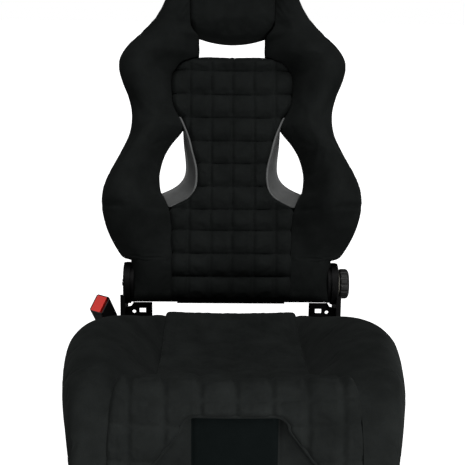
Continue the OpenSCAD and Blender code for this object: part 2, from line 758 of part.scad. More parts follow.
module latch_pawls() {
  color(steel_zinc) for (side = [-1, 1]) translate([side * release_x - 3, 0, 0]) {
    difference() {
      translate([0, release_pivot[0] - 78, 38]) cube([6, 76, 5]);
      translate([3 - 7, release_pivot[0], release_pivot[1]]) rotate([0, 90, 0]) cylinder(r = 8, h = 14);
    }
    for (i = [-1:1]) translate([0, notch_mid_y + i * notch_pitch - 3, rail_top_z + 0.6]) cube([6, 6, 6]);
  }
}

// ---------------------------------------------------------------- belt buckle

buckle_x = -233;
head_lean = 40;      // lean of the buckle towards the front
head_out = 12;       // lean of the buckle away from the seat
head_yaw = -29;      // turn of the buckle about its own length
head_base = [220, 238];
housing_wall = 1.3;
button_gap = 0.3;
button_l = 12;

module buckle_bracket() {
  color(steel_black) {
    difference() {
      plate_x(-ear_x - sheet_t - 3.5, -ear_x - sheet_t) translate([204, 152]) square([36, 40]);
      rod_x(-ear_x - sheet_t - 5, -ear_x, 5, anchor[0], anchor[1]);
    }
    translate([-232, 208, 152]) cube([232 - ear_x - sheet_t - 3.5, 28, 3.5]);
    difference() {
      plate_x(-235.5, -232) translate([208, 152]) square([28, 46]);
      rod_x(-240, -230, 6, anchor[0], anchor[1]);
    }
  }
}

module buckle_anchor_bolt() {
  color(steel_zinc) {
    rod_x(-241, -226, 6, anchor[0], anchor[1]);
    translate([-241, anchor[0], anchor[1]]) rotate([0, -90, 0]) hex_head(10, 5);
    translate([-226, anchor[0], anchor[1]]) rotate([0, 90, 0]) hex_head(9, 5);
  }
}

module buckle_stalk() {
  color(steel_black) difference() {
    union() {
      rod_x(-240, -236.5, 14, anchor[0], anchor[1]);
      plate_x(-240, -236.5) polygon([
        [anchor[0] - 10, anchor[1] + 6], [head_base[0] - 11, head_base[1] - 16],
        [head_base[0] - 12, head_base[1] + 8], [head_base[0] + 3, head_base[1] + 8],
        [head_base[0] + 9, head_base[1] - 14], [anchor[0] + 10, anchor[1] + 6]
      ]);
    }
    rod_x(-242, -230, 6 + running, anchor[0], anchor[1]);
  }
}

module on_buckle() {
  translate([buckle_x, head_base[0], head_base[1]])
    rotate([0, -head_out, 0]) rotate([head_lean, 0, 0]) rotate([0, 0, head_yaw]) children();
}

// Box centred across the buckle, between two heights along it.
module centred_box(x, y, z0, z1) {
  translate([-x / 2, -y / 2, z0]) cube([x, y, z1 - z0]);
}

module buckle_housing() {
  color(plastic_dark) difference() {
    on_buckle() difference() {
      linear_extrude(buckle_l) rounded(4) square([buckle_t, buckle_w], center = true);
      centred_box(buckle_t - 2 * housing_wall, buckle_w - 2 * housing_wall, 26, 2 * buckle_l);
    }
    translate([-241.5, head_base[0] - 30, head_base[1] - 30]) cube([6.5, 60, 52]);
  }
}

module buckle_latch() {
  color(steel_zinc) on_buckle() difference() {
    translate([-2, -13, 27]) cube([13.5, 26, 18.5]);
    translate([7.4, -11.5, 30]) cube([3.2, 23, 40]);
  }
}

// Press button in the end of the housing. The slot for the belt tongue is between it and the inner wall.
module buckle_button() {
  margin = 2 * (housing_wall + button_gap);
  color([0.8, 0.05, 0.04]) on_buckle() difference() {
    centred_box(buckle_t - margin, buckle_w - margin, buckle_l - button_l + 2.4, buckle_l - 0.6);
    translate([7, -buckle_w, buckle_l - button_l]) cube([buckle_t, 2 * buckle_w, button_l + 4]);
  }
}

// ---------------------------------------------------------------- nodes

lower_rail(-1);  // lower_rail_left
lower_rail(1);  // lower_rail_right
front_feet();
rear_feet();
foot_rivets();
roller_cages();
track_rollers();
upper_rail(-1);  // upper_rail_left
upper_rail(1);  // upper_rail_right
rail_end_caps();
side_frame(-1);  // side_frame_left
side_frame(1);  // side_frame_right
frame_bolts();
cross_tube(front_tube);  // front_cross_tube
cross_tube(rear_tube);  // rear_cross_tube
seat_pan();
cover_hooks();
recliner_housing(-1);  // recliner_housing_left
recliner_housing(1);  // recliner_housing_right
recline_bezel();
cushion_foam_core();
cushion_seat_pad();
cushion_thigh_pad();
cushion_nose_pad();
cushion_bolster(-1);  // cushion_bolster_left
cushion_bolster(1);  // cushion_bolster_right
buckle_bracket();
buckle_anchor_bolt();
release_pivots();
release_bar();
release_grip();
latch_pawls();
back_shell();
back_arm(-1);  // back_arm_left
back_arm(1);  // back_arm_right
recliner_disc(-1);  // recliner_disc_left
recliner_disc(1);  // recliner_disc_right
arm_bolts();
arm_spacers();
disc_screws();
headrest_pad();
back_bolster(-1);  // back_bolster_left
back_bolster(1);  // back_bolster_right
back_centre_pad();
pad_retainer();
cross_shaft();
drive_cams();
recline_knob();
knob_cap();
buckle_stalk();
buckle_housing();
buckle_latch();
buckle_button();
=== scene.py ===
"""Racing seat: upholstery, moulded shell, materials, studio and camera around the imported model."""

import json
import math

import bpy
from mathutils import Matrix, Vector


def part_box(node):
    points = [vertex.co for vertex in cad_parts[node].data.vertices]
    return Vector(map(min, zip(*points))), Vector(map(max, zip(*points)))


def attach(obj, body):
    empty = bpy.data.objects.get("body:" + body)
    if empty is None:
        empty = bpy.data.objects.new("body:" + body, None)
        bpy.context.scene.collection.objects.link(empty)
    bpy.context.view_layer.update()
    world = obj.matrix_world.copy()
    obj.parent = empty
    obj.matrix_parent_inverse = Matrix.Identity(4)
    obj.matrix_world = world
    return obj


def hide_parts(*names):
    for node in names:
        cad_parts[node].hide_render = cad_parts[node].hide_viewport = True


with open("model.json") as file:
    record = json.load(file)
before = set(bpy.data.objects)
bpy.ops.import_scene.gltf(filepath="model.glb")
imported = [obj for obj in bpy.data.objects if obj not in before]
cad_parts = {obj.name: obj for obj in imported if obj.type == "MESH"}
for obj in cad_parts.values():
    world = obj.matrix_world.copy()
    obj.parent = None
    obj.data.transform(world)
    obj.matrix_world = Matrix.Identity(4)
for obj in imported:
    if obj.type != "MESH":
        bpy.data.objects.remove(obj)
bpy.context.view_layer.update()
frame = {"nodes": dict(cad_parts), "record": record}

# The recline axis, the backrest's lean and the cushion's underside below the axis, in millimetres.
AXIS_Y = 215.0
AXIS_Z = 315.0
TILT = math.radians(20)
BASE_H = 149.0

SWELL_FRAMES = 14


# ---------------------------------------------------------------- curves

def curve(points, x):
    """Smooth curve through (position, value) points, as the solids of the frame are drawn."""
    last = len(points) - 2
    i = 0
    while i < last and x >= points[i + 1][0]:
        i += 1

    def slope(k):
        a = points[max(k - 1, 0)]
        b = points[min(k + 1, len(points) - 1)]
        return (b[1] - a[1]) / (b[0] - a[0])

    gap = points[i + 1][0] - points[i][0]
    t = min(max((x - points[i][0]) / gap, 0.0), 1.0)
    t2 = t * t
    t3 = t2 * t
    value = points[i][1] * (2 * t3 - 3 * t2 + 1) + points[i + 1][1] * (3 * t2 - 2 * t3)
    return value + slope(i) * gap * (t3 - 2 * t2 + t) + slope(i + 1) * gap * (t3 - t2)


def mix(a, b, t):
    return a + (b - a) * t


def steps(a, b, n):
    return [mix(a, b, i / n) for i in range(n + 1)]


def ease(t):
    t = min(max(t, 0.0), 1.0)
    return t * t * (3 - 2 * t)


def edge_drop(distance, radius):
    """How far a rounded edge falls at a distance in from the edge."""
    if distance >= radius:
        return 0.0
    inside = radius - max(distance, 0.0)
    return radius - math.sqrt(max(radius * radius - inside * inside, 0.0))


def groove(distance, width):
    """A soft valley, 1 deep at its line and 0 at its width."""
    t = min(abs(distance) / width, 1.0)
    return (1 - t) ** 2 * (1 + 2 * t)


def back_at(x, w, n):
    """Backrest point: across, up along the lean, and forward of the recline axis."""
    y = AXIS_Y - n * math.cos(TILT) + w * math.sin(TILT)
    z = AXIS_Z + n * math.sin(TILT) + w * math.cos(TILT)
    return Vector((x, y, z)) / 1000


def cushion_at(x, d, h):
    """Cushion point: across, forward of the recline axis, and below it."""
    return Vector((x, AXIS_Y - d, AXIS_Z - h)) / 1000


# ---------------------------------------------------------------- meshes

def make_mesh(name, points, faces, slot, body, sharp=50):
    mesh = bpy.data.meshes.new(name)
    mesh.from_pydata([tuple(p) for p in points], [], faces)
    mesh.validate()
    mesh.update()
    mesh.polygons.foreach_set("use_smooth", [True] * len(mesh.polygons))
    mesh.set_sharp_from_angle(angle=math.radians(sharp))
    obj = bpy.data.objects.new(name, mesh)
    bpy.context.scene.collection.objects.link(obj)
    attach(obj, body)
    mesh.materials.append(MATERIALS[slot])
    return obj


def slab(name, front, back, slot, body, sharp=50):
    """Closed solid between two grids of points: rows upwards, columns to the right from the front."""
    rows = len(front)
    cols = len(front[0])
    points = [p for grid in (front, back) for row in grid for p in row]

    def at(i, j, side):
        return side * rows * cols + i * cols + j

    faces = []
    for i in range(rows - 1):
        for j in range(cols - 1):
            faces.append((at(i, j, 0), at(i, j + 1, 0), at(i + 1, j + 1, 0), at(i + 1, j, 0)))
            faces.append((at(i, j, 1), at(i + 1, j, 1), at(i + 1, j + 1, 1), at(i, j + 1, 1)))
    for j in range(cols - 1):
        faces.append((at(0, j, 0), at(0, j, 1), at(0, j + 1, 1), at(0, j + 1, 0)))
        top = rows - 1
        faces.append((at(top, j, 0), at(top, j + 1, 0), at(top, j + 1, 1), at(top, j, 1)))
    for i in range(rows - 1):
        faces.append((at(i, 0, 0), at(i + 1, 0, 0), at(i + 1, 0, 1), at(i, 0, 1)))
        end = cols - 1
        faces.append((at(i, end, 0), at(i, end, 1), at(i + 1, end, 1), at(i + 1, end, 0)))
    return make_mesh(name, points, faces, slot, body, sharp)


def tube(name, path, radius, slot, body, sides=10, closed=False):
    """Round bead along a path of points."""
    count = len(path)
    points = []
    for i, p in enumerate(path):
        if closed:
            along = (path[(i + 1) % count] - path[i - 1]).normalized()
        else:
            along = (path[min(i + 1, count - 1)] - path[max(i - 1, 0)]).normalized()
        side = along.cross(Vector((0.02, -0.6, 0.8))).normalized()
        up = side.cross(along).normalized()
        for k in range(sides):
            a = 2 * math.pi * k / sides
            points.append(p + (side * math.cos(a) + up * math.sin(a)) * radius)
    faces = []
    for i in range(count if closed else count - 1):
        j = (i + 1) % count
        for k in range(sides):
            m = (k + 1) % sides
            faces.append((i * sides + k, i * sides + m, j * sides + m, j * sides + k))
    if not closed:
        faces.append(tuple(reversed(range(sides))))
        faces.append(tuple((count - 1) * sides + k for k in range(sides)))
    return make_mesh(name, points, faces, slot, body, 80)


def mirrored(points):
    return [[Vector((-p.x, p.y, p.z)) for p in reversed(row)] for row in points]


def mirrored_flags(flags, count):
    rows = [flags[i:i + count] for i in range(0, len(flags), count)]
    return [flag for row in rows for flag in reversed(row)]


def swell(piece, free, pressure, cap, slack=0.0):
    """Blow the cover up with a cloth simulation and keep the result.

    It is held wherever free is false, where it is sewn, and over the whole rear grid of the slab.
    Pressure is Blender's; cap is the furthest that a point may move, in metres; slack is spare cloth.
    """
    scene = bpy.context.scene
    held = [i for i in range(len(piece.data.vertices)) if i >= len(free) or not free[i]]
    sewn = piece.vertex_groups.new(name="sewn")
    sewn.add(held, 1, "REPLACE")
    cloth = piece.modifiers.new("swell", "CLOTH")
    settings = cloth.settings
    settings.quality = 4
    settings.mass = 0.3
    settings.tension_stiffness = 12
    settings.compression_stiffness = 8
    settings.shear_stiffness = 4
    settings.bending_stiffness = 0.02
    settings.shrink_min = -slack
    settings.use_pressure = True
    settings.uniform_pressure_force = pressure
    settings.effector_weights.gravity = 0
    settings.vertex_group_mass = "sewn"
    cloth.collision_settings.use_collision = False
    cloth.point_cache.frame_end = SWELL_FRAMES
    for frame_number in range(1, SWELL_FRAMES + 1):
        scene.frame_set(frame_number)
    blown = piece.evaluated_get(bpy.context.evaluated_depsgraph_get()).to_mesh()
    targets = [v.co.copy() for v in blown.vertices]
    piece.modifiers.remove(cloth)
    piece.vertex_groups.remove(sewn)
    scene.frame_set(1)
    for vertex, target in zip(piece.data.vertices, targets):
        move = target - vertex.co
        length = move.length
        if length > cap:
            move *= cap / length
        vertex.co += move
    piece.data.update()


# ---------------------------------------------------------------- materials

MATERIALS = {}


def new_material(name):
    material = bpy.data.materials.new(name)
    material.use_nodes = True
    nodes = material.node_tree.nodes
    shader = nodes["Principled BSDF"]
    MATERIALS[name] = material
    return material.node_tree, nodes, shader


def add_node(nodes, kind, **values):
    """A shader node with settings by attribute name, and inputs by socket name."""
    item = nodes.new(kind)
    for key, value in values.items():
        if hasattr(item, key):
            setattr(item, key, value)
        else:
            item.inputs[key.replace("_", " ")].default_value = value
    return item


def ramp(nodes, stops):
    item = nodes.new("ShaderNodeValToRGB")
    item.color_ramp.elements[0].position = stops[0][0]
    item.color_ramp.elements[0].color = (*stops[0][1], 1)
    item.color_ramp.elements[1].position = stops[-1][0]
    item.color_ramp.elements[1].color = (*stops[-1][1], 1)
    for position, color in stops[1:-1]:
        item.color_ramp.elements.new(position).color = (*color, 1)
    return item


def noise(tree, nodes, coords, scale, detail=3.0, rough=0.5):
    item = add_node(nodes, "ShaderNodeTexNoise", Scale=scale, Detail=detail, Roughness=rough)
    tree.links.new(coords.outputs["Object"], item.inputs["Vector"])
    return item


def mapped_range(tree, nodes, source, low, high):
    item = add_node(nodes, "ShaderNodeMapRange")
    item.inputs["To Min"].default_value = low
    item.inputs["To Max"].default_value = high
    tree.links.new(source, item.inputs["Value"])
    return item


def suede(name, dark, light, sheen):
    """Short napped fabric: mottled nap, fine fibre bump and a soft sheen."""
    tree, nodes, shader = new_material(name)
    coords = nodes.new("ShaderNodeTexCoord")
    brushed = noise(tree, nodes, coords, 26, 5.0, 0.6)
    fibre = noise(tree, nodes, coords, 1500, 2.0, 0.6)
    cloud = noise(tree, nodes, coords, 6, 2.0, 0.5)
    weights = add_node(nodes, "ShaderNodeMath", operation="MULTIPLY_ADD")
    weights.inputs[1].default_value = 0.55
    tree.links.new(brushed.outputs["Fac"], weights.inputs[0])
    part = add_node(nodes, "ShaderNodeMath", operation="MULTIPLY")
    part.inputs[1].default_value = 0.45
    tree.links.new(cloud.outputs["Fac"], part.inputs[0])
    tree.links.new(part.outputs[0], weights.inputs[2])
    colors = ramp(nodes, [(0.36, dark), (0.64, light)])
    tree.links.new(weights.outputs[0], colors.inputs["Fac"])
    grains = ramp(nodes, [(0.3, (0.72, 0.72, 0.72)), (0.7, (1.18, 1.18, 1.18))])
    tree.links.new(fibre.outputs["Fac"], grains.inputs["Fac"])
    blended = nodes.new("ShaderNodeMix")
    blended.data_type = "RGBA"
    blended.blend_type = "MULTIPLY"
    blended.inputs["Factor"].default_value = 1
    tree.links.new(colors.outputs["Color"], blended.inputs["A"])
    tree.links.new(grains.outputs["Color"], blended.inputs["B"])
    tree.links.new(blended.outputs["Result"], shader.inputs["Base Color"])
    rough = mapped_range(tree, nodes, brushed.outputs["Fac"], 0.82, 0.98)
    tree.links.new(rough.outputs["Result"], shader.inputs["Roughness"])
    fine = add_node(nodes, "ShaderNodeBump", Strength=0.35, Distance=0.0004)
    tree.links.new(fibre.outputs["Fac"], fine.inputs["Height"])
    soft = add_node(nodes, "ShaderNodeBump", Strength=0.25, Distance=0.0016)
    tree.links.new(brushed.outputs["Fac"], soft.inputs["Height"])
    tree.links.new(fine.outputs["Normal"], soft.inputs["Normal"])
    tree.links.new(soft.outputs["Normal"], shader.inputs["Normal"])
    shader.inputs["Specular IOR Level"].default_value = 0.03
    shader.inputs["Sheen Weight"].default_value = sheen
    shader.inputs["Sheen Roughness"].default_value = 0.45
    shader.inputs["Sheen Tint"].default_value = (0.9, 0.97, 0.94, 1)


def plastic(name, color, rough, grain, bump, coat=0.0, vary=0.12):
    """Moulded plastic with a fine leather-like grain and slight unevenness of gloss."""
    tree, nodes, shader = new_material(name)
    coords = nodes.new("ShaderNodeTexCoord")
    cells = add_node(nodes, "ShaderNodeTexVoronoi", Scale=grain)
    tree.links.new(coords.outputs["Object"], cells.inputs["Vector"])
    haze = noise(tree, nodes, coords, 40, 4.0, 0.6)
    low = tuple(c * (1 - vary) for c in color)
    high = tuple(c * (1 + vary) for c in color)
    colors = ramp(nodes, [(0.35, low), (0.65, high)])
    tree.links.new(haze.outputs["Fac"], colors.inputs["Fac"])
    tree.links.new(colors.outputs["Color"], shader.inputs["Base Color"])
    gloss = mapped_range(tree, nodes, haze.outputs["Fac"], rough - 0.07, rough + 0.07)
    tree.links.new(gloss.outputs["Result"], shader.inputs["Roughness"])
    relief = add_node(nodes, "ShaderNodeBump", Strength=bump, Distance=0.0003)
    tree.links.new(cells.outputs["Distance"], relief.inputs["Height"])
    tree.links.new(relief.outputs["Normal"], shader.inputs["Normal"])
    shader.inputs["Coat Weight"].default_value = coat


def metal(name, color, rough, metallic, scratch, bump):
    """Coated or plated steel with rolling marks and patchy gloss."""
    tree, nodes, shader = new_material(name)
    coords = nodes.new("ShaderNodeTexCoord")
    stretch = add_node(nodes, "ShaderNodeMapping")
    stretch.inputs["Scale"].default_value = (1, 0.12, 1)
    tree.links.new(coords.outputs["Object"], stretch.inputs["Vector"])
    marks = add_node(nodes, "ShaderNodeTexNoise", Scale=scratch, Detail=5.0, Roughness=0.7)
    tree.links.new(stretch.outputs["Vector"], marks.inputs["Vector"])
    patches = noise(tree, nodes, coords, 18, 4.0, 0.65)
    low = tuple(c * 0.75 for c in color)
    high = tuple(min(c * 1.2, 1) for c in color)
    colors = ramp(nodes, [(0.3, low), (0.7, high)])
    tree.links.new(patches.outputs["Fac"], colors.inputs["Fac"])
    tree.links.new(colors.outputs["Color"], shader.inputs["Base Color"])
    gloss = mapped_range(tree, nodes, marks.outputs["Fac"], rough - 0.12, rough + 0.14)
    tree.links.new(gloss.outputs["Result"], shader.inputs["Roughness"])
    relief = add_node(nodes, "ShaderNodeBump", Strength=bump, Distance=0.0002)
    tree.links.new(marks.outputs["Fac"], relief.inputs["Height"])
    tree.links.new(relief.outputs["Normal"], shader.inputs["Normal"])
    shader.inputs["Metallic"].default_value = metallic
    shader.inputs["Specular IOR Level"].default_value = 0.5 if metallic else 0.15


suede("black_fabric", (0.0125, 0.0140, 0.0135), (0.0215, 0.0240, 0.0232), 0.03)
# The backrest's fabric is the cushion's fabric made darker: painted shade, for the lesser light that
# falls on the backrest.
suede("back_fabric_painted_shade", (0.0085, 0.0096, 0.0093), (0.0150, 0.0168, 0.0163), 0.02)
suede("foam", (0.16, 0.16, 0.17), (0.24, 0.24, 0.25), 0.05)
# Smooth panel fabric of its own for the nose notch, made darker still as painted shade of the recess it
# sits in.
suede("dark_panel_and_painted_shade", (0.0042, 0.0062, 0.0062), (0.0065, 0.0090, 0.0090), 0.0)
plastic("grey_shell", (0.120, 0.123, 0.122), 0.45, 1400, 0.25)
plastic("dark_plastic", (0.012, 0.012, 0.0115), 0.55, 1100, 0.35)
plastic("grey_plastic", (0.24, 0.23, 0.19), 0.45, 1200, 0.2)
plastic("red_plastic", (0.93, 0.030, 0.018), 0.5, 1500, 0.12, 0.0, 0.04)
metal("black_steel", (0.0040, 0.0040, 0.0043), 0.58, 0.0, 220, 0.3)
metal("zinc_steel", (0.52, 0.52, 0.53), 0.34, 1.0, 260, 0.25)

SLOTS = {s["node"]: s["material_slot"] for s in frame["record"]["subparts"]}
for name, obj in frame["nodes"].items():
    obj.data.materials.clear()
    obj.data.materials.append(MATERIALS[SLOTS[name]])


# ---------------------------------------------------------------- backrest lines

BACK_LOW = -36.0
BACK_TOP = 664.0

BACK_HALF = [
    (-38, 174), (22, 175), (38, 178), (41, 184), (44, 197), (50, 205), (80, 222), (108, 232), (140, 237),
    (170, 234), (200, 223), (240, 204), (275, 190), (313, 187), (345, 194), (372, 205), (395, 211),
    (415, 209), (440, 195), (465, 171), (492, 148), (520, 133), (560, 118), (605, 106), (635, 97),
    (652, 84), (664, 66),
]
CENTRE_HALF = [
    (-38, 110), (60, 110), (120, 112), (137, 115), (144, 102), (152, 86), (161, 75),
    (172, 68), (184, 65),
    (199, 64), (217, 66), (245, 73), (274, 81), (307, 95), (320, 104), (335, 110),
    (360, 113), (390, 112),
    (402, 106), (411, 98), (418, 86), (424, 70), (427, 58),
]
BOLSTER_INNER = [
    (-38, 110), (60, 110), (120, 112), (139, 117), (150, 122), (168, 131), (185, 134), (205, 134),
    (236, 126), (260, 113), (288, 92), (297, 93), (307, 97), (320, 105), (335, 111), (360, 114),
    (390, 113), (402, 107), (411, 99), (418, 87), (424, 72), (430, 64), (462, 64), (472, 73), (484, 79),
    (600, 79), (635, 74), (652, 66), (664, 54),
]
SHELL_LINE = [
    (-38, -30), (0, -30), (40, -24), (90, -8), (140, 2), (200, 6), (260, 4), (320, -2), (380, -6),
    (450, -6), (520, 0), (600, 6), (664, 12),
]
SHELL_RIM = [
    (-38, -16), (20, -8), (50, 14), (80, 34), (108, 46), (140, 54), (185, 50), (226, 40), (272, 30),
    (313, 27), (358, 33), (395, 38), (428, 34), (460, 26), (492, 20), (520, 16), (600, 14), (664, 14),
]
PAD_LINE = [
    (-38, 36), (-24, 41), (0, 44), (60, 47), (120, 50), (200, 50), (280, 46), (360, 40),
    (412, 35), (427, 30),
]
BOLSTER_LINE = [
    (-38, 38), (-20, 39), (30, 44), (60, 55), (100, 92), (140, 122), (185, 116), (226, 102), (272, 87),
    (313, 80), (358, 86), (400, 89), (428, 85), (460, 75), (492, 70), (520, 68), (600, 64), (640, 56),
    (664, 40),
]
HEAD_LINE = [(456, 40), (464, 52), (486, 60), (545, 65), (600, 63), (642, 54), (662, 40)]
SHAFT_ROOM = [(-38, 13), (44, 13), (70, 2), (95, -30), (664, -30)]
OPENING_INNER = [
    (168, 130), (174, 117), (181, 105), (189, 96), (200, 89), (214, 86), (235, 87), (260, 90), (288, 92),
]


def shell_n(x, w):
    t = abs(x) / curve(BACK_HALF, w)
    dish = 0.0 if t < 0.35 else ((t - 0.35) / 0.65) ** 2
    return mix(curve(SHELL_LINE, w), curve(SHELL_RIM, w), dish)


def pad_back(x, w):
    return max(shell_n(x, w) + 1, curve(SHAFT_ROOM, w))


# ---------------------------------------------------------------- backrest bolsters

def pad_or_head(w):
    """Depth of the neighbouring pad, blended across the head slot."""
    low = curve(PAD_LINE, min(max(w, -38), 427))
    high = curve(HEAD_LINE, min(max(w, 456), 662))
    return mix(low, high, ease((w - 425) / 45))


# The lowest part of a bolster is at least this far out, so that it covers the arm behind it.
ARM_COVER = 186.0


def soft_outer(w):
    """Half width averaged over a band, so that the crown doesn't follow each step of the outline."""
    total = 0.0
    for k in range(-4, 5):
        at = min(max(w + 7 * k, BACK_LOW), BACK_TOP)
        half = curve(BACK_HALF, at)
        total += max(half, ARM_COVER) if at < 300 else half
    return total / 9


def bolster_section(w):
    """Points of one cross-section, from the inner seam over the crown to the outer edge."""
    inner_x = curve(BOLSTER_INNER, w) + (0 if w < 130 or w > 312 else 0.7)
    outer_x = max(curve(BACK_HALF, w), ARM_COVER) if w < 300 else curve(BACK_HALF, w)
    inner_n = max(pad_or_head(w) - 9, pad_back(inner_x, w) + 6)
    crown_n = max(curve(BOLSTER_LINE, w), inner_n + 4)
    edge_n = curve(SHELL_RIM, w) + 12
    crown_x = min(mix(inner_x, soft_outer(w), 0.62), mix(inner_x, outer_x, 0.78))
    points = []
    for k in range(27):
        t = k / 26
        rise = math.sin(t * math.pi / 2) ** 1.15
        n = mix(inner_n, crown_n, rise)
        x = mix(inner_x, crown_x, t ** 1.25)
        points.append((x, n))
    for k in range(1, 25):
        a = k / 24 * math.pi / 2
        x = mix(crown_x, outer_x, math.sin(a) ** 0.92)
        n = mix(edge_n, crown_n, math.cos(a) ** 0.9)
        points.append((x, n))
    tuck = curve(SHELL_RIM, w) + 1
    for k in range(1, 5):
        t = k / 4
        points.append((outer_x - 4.5 * t * t, mix(edge_n, tuck, t)))
    return points


def dart(x, w):
    """The short sewn tuck that runs in from the outer edge of each lower wing."""
    outer = curve(BACK_HALF, w)
    reach = min(max((x - (outer - 62)) / 40, 0), 1)
    line = 134 + 0.09 * (x - outer + 30)
    return 5.5 * reach * groove(w - line, 8)


def back_bolster(side_name, mirror):
    ws = steps(BACK_LOW, 36, 16) + steps(38, 50, 8) + steps(54, BACK_TOP - 30, 150)
    ws += steps(BACK_TOP - 27, BACK_TOP, 12)
    front = []
    back = []
    free = []
    for w in ws:
        low_end = edge_drop(w - BACK_LOW + 0.5, 16)
        top_end = edge_drop(BACK_TOP - w, 26)
        row = []
        rear = []
        section = bolster_section(w)
        for k, (x, n) in enumerate(section):
            room = pad_back(x, w) + 2
            depth = n - low_end - top_end * 0.7 - dart(x, w)
            row.append(back_at(x, w, max(depth, room)))
            rear.append(back_at(x, w, min(pad_back(x, w), n - 1)))
            held = dart(x, w) > 2.5 or w < BACK_LOW + 12 or w > BACK_TOP - 14
            free.append(2 < k < len(section) - 8 and not held)
        front.append(row)
        back.append(rear)
    if mirror:
        front = mirrored(front)
        back = mirrored(back)
        free = mirrored_flags(free, len(front[0]))
    piece = slab("bolster_cover_" + side_name, front, back, "black_fabric", "backrest", 60)
    swell(piece, free, 3.0, 0.004, 0.012)
    # The bolster cover takes the darker copy of the fabric: painted shade.
    piece.data.materials[0] = MATERIALS["back_fabric_painted_shade"]
    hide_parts("back_bolster_" + side_name)


back_bolster("left", True)
back_bolster("right", False)


# ---------------------------------------------------------------- backrest centre pad

# Heights of the sewn creases above the recline axis, and the distance between the upright stitch lines.
CREASES = [11, 54, 97, 136, 178, 221.5, 264, 308.5, 353.5, 400]
STITCH_X = 40.0


def channel_rise(position, lines, first, last):
    """0 in a sewn channel and 1 at the middle of the puff between two channels."""
    marks = [first] + [c for c in lines if first < c < last] + [last]
    for a, b in zip(marks, marks[1:]):
        if position <= b:
            t = (position - a) / (b - a)
            return max(math.sin(math.pi * min(max(t, 0), 1)), 0.0) ** 0.45
    return 0.0


def centre_pad():
    us = [math.sin(t * math.pi / 2) for t in steps(-1, 1, 96)]
    ws = steps(BACK_LOW, 426.5, 260)
    front = []
    back = []
    free = []
    for w in ws:
        beside_bolster = w < 130 or w > 312
        half = curve(CENTRE_HALF, w) + (0.4 if beside_bolster else -0.7)
        under = 3 if beside_bolster else 0
        row = []
        rear = []
        for u in us:
            sag = 1.6 * (1 - u * u)
            rise = channel_rise(w + sag, CREASES, -30, 432)
            lines = sum(groove(u * half - STITCH_X * k, 7) for k in (-2, -1, 0, 1, 2))
            lines *= ease((424 - w) / 16)
            x = u * (half - (1 - rise) * 1.2)
            depth = curve(PAD_LINE, w) - 9 + 12 * rise - 4.6 * lines * min(rise * 1.3, 1)
            depth -= edge_drop(half * (1 - abs(u)), 11)
            depth -= edge_drop(426.9 - w, 15) + edge_drop(w - BACK_LOW + 0.4, 10)
            row.append(back_at(x, w, depth))
            rear.append(back_at(u * (half + under), w, pad_back(u * half, w)))
            free.append(rise > 0.45 and lines < 0.8 and half * (1 - abs(u)) > 5 and w > BACK_LOW + 6)
        front.append(row)
        back.append(rear)
    piece = slab("centre_pad_cover", front, back, "black_fabric", "backrest", 60)
    swell(piece, free, 6.0, 0.003, 0.02)
    # The centre pad takes the darker copy of the fabric: painted shade.
    piece.data.materials[0] = MATERIALS["back_fabric_painted_shade"]
    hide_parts("back_centre_pad")


centre_pad()


# ---------------------------------------------------------------- headrest

def headrest():
    us = [math.sin(t * math.pi / 2) for t in steps(-1, 1, 60)]
    vs = [0.5 - 0.5 * math.cos(t * math.pi) for t in steps(0, 1, 90)]
    front = []
    back = []
    free = []
    for v in vs:
        row = []
        rear = []
        for u in us:
            free.append(abs(u) < 0.93 and 0.03 < v < 0.97)
            w = mix(457 + 14 * u * u, 662 - 6 * u * u, v)
            corner = 80 * (0.1 - v) if v < 0.1 else 0
            half = curve(BOLSTER_INNER, max(w, 488)) - 0.7 - corner
            x = u * half
            depth = curve(HEAD_LINE, mix(466, 655, v)) + 3 * (1 - u * u)
            depth -= edge_drop(half * (1 - abs(u)), 10)
            depth -= edge_drop(205 * v + 0.3, 26) + edge_drop(205 * (1 - v) + 0.3, 24)
            row.append(back_at(x, w, max(depth, pad_back(x, w) + 2)))
            rear.append(back_at(x, w, pad_back(x, w) + 0.5))
        front.append(row)
        back.append(rear)
    piece = slab("headrest_cover", front, back, "black_fabric", "backrest", 60)
    swell(piece, free, 3.0, 0.003, 0.012)
    # The headrest takes the darker copy of the fabric: painted shade.
    piece.data.materials[0] = MATERIALS["back_fabric_painted_shade"]
    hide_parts("headrest_pad")


headrest()


# ---------------------------------------------------------------- cushion lines

CREST_D = 414.0
REAR_D = 34.0
FRONT_D = 488.0
NOTCH_BACK_D = 455.0
NOTCH_TOP_H = 50.0
NOTCH_R = 22.0
NOTCH_HALF = 58.0
NOTCH_SPREAD = 0.75

CUSHION_LINE = [
    (34, 49), (44, 46), (60, 48), (100, 57), (200, 62), (300, 52), (350, 39), (380, 27), (408, 16),
    (422, 12), (440, 13), (456, 21), (468, 36), (476, 60), (481, 90), (485, 120), (488, 150),
]
CUSHION_HALF = [
    (34, 142), (50, 168), (70, 192), (100, 214), (130, 234), (160, 250), (190, 263), (220, 268),
    (260, 271), (320, 267), (400, 257), (440, 249), (470, 243), (488, 240),
]
PANEL_HALF = [
    (34, 120), (200, 121), (380, 123), (396, 127), (406, 139), (413, 156), (422, 170), (440, 175),
    (470, 182), (488, 189),
]
BOLSTER_CROWN = [
    (34, 52), (50, 48), (70, 41), (100, 29), (150, 12), (200, 2), (260, -3), (340, -4), (400, -1),
    (430, 6), (452, 18), (466, 36), (476, 62), (482, 95), (488, 146),
]


def notch_edge(h):
    below = h - NOTCH_TOP_H - NOTCH_R
    if below < 0:
        return NOTCH_HALF + math.sqrt(max(NOTCH_R ** 2 - below * below, 0.0))
    return NOTCH_HALF + NOTCH_R + NOTCH_SPREAD * below


